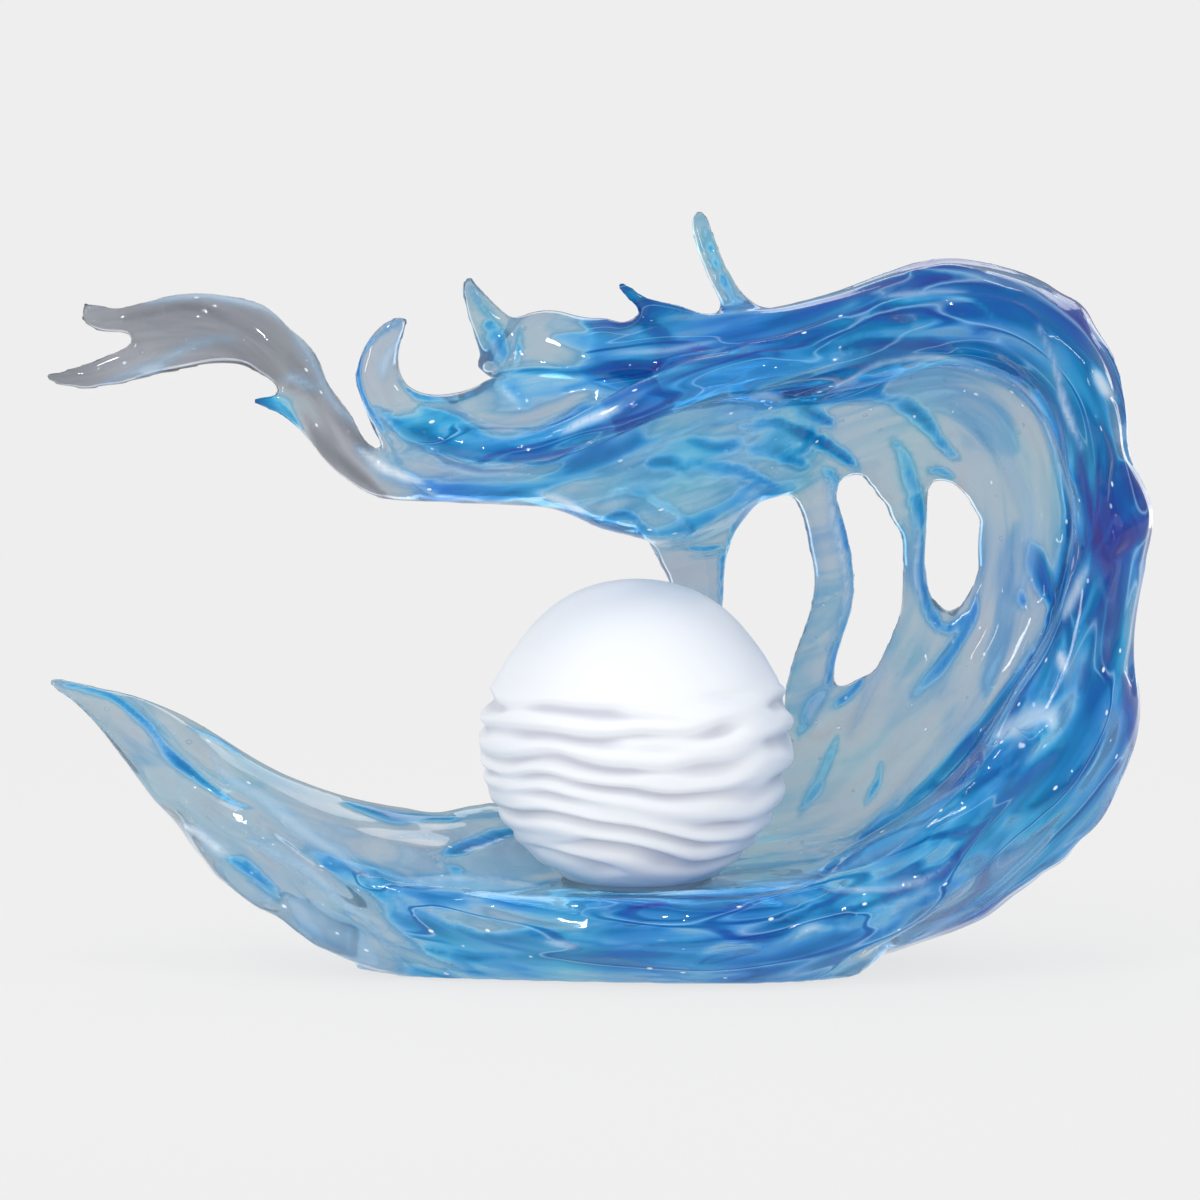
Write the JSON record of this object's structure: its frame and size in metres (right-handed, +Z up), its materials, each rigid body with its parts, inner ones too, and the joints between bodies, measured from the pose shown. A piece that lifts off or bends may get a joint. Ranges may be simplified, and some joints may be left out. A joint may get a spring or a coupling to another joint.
{
  "type": "wave sculpture with globe",
  "caption": "Table sculpture of a breaking wave in clear and blue resin, curling over a loose white rippled globe that rests in its trough.",
  "frame": {"origin": "below the middle of the ornament, on the plane of the pads under its foot", "axes": "+X along the wave towards its curling back, -Y the viewed side, +Z up"},
  "size_m": [0.602, 0.1827, 0.4088],
  "materials": {
    "resin_blue": "polished cast resin, transparent blue",
    "resin_pale": "polished cast resin, clear with a pale blue-grey tint",
    "resin_clear": "polished cast resin, nearly colourless",
    "globe_white": "opaque white cast resin, satin",
    "silicone": "clear silicone"
  },
  "bodies": {
    "wave": {"base_trough": "resin_blue", "right_swell": "resin_blue", "front_ridge": "resin_blue", "right_ridge": "resin_blue", "crest_roll": "resin_blue", "crest_crescent": "resin_blue", "crest_hook": "resin_blue", "strand_mid": "resin_blue", "tail_barb": "resin_blue", "spike_middle": "resin_blue", "left_tongue": "resin_pale", "crest_lip": "resin_pale", "veil_arch": "resin_pale", "veil_fan": "resin_pale", "strand_right": "resin_pale", "strand_front": "resin_pale", "spike_left": "resin_pale", "spike_tall": "resin_pale", "tail_splash": "resin_clear", "seat_ring": "silicone", "foot_pad_1": "silicone", "foot_pad_2": "silicone", "foot_pad_3": "silicone", "foot_pad_4": "silicone", "foot_pad_5": "silicone", "foot_pad_6": "silicone"},
    "globe": {"globe": "globe_white"}
  },
  "joints": [
    {"name": "globe_lift", "type": "slide", "parent": "wave", "child": "globe", "axis": [0, -0.8192, 0.5736], "range_m": [0, 0.26]}
  ]
}
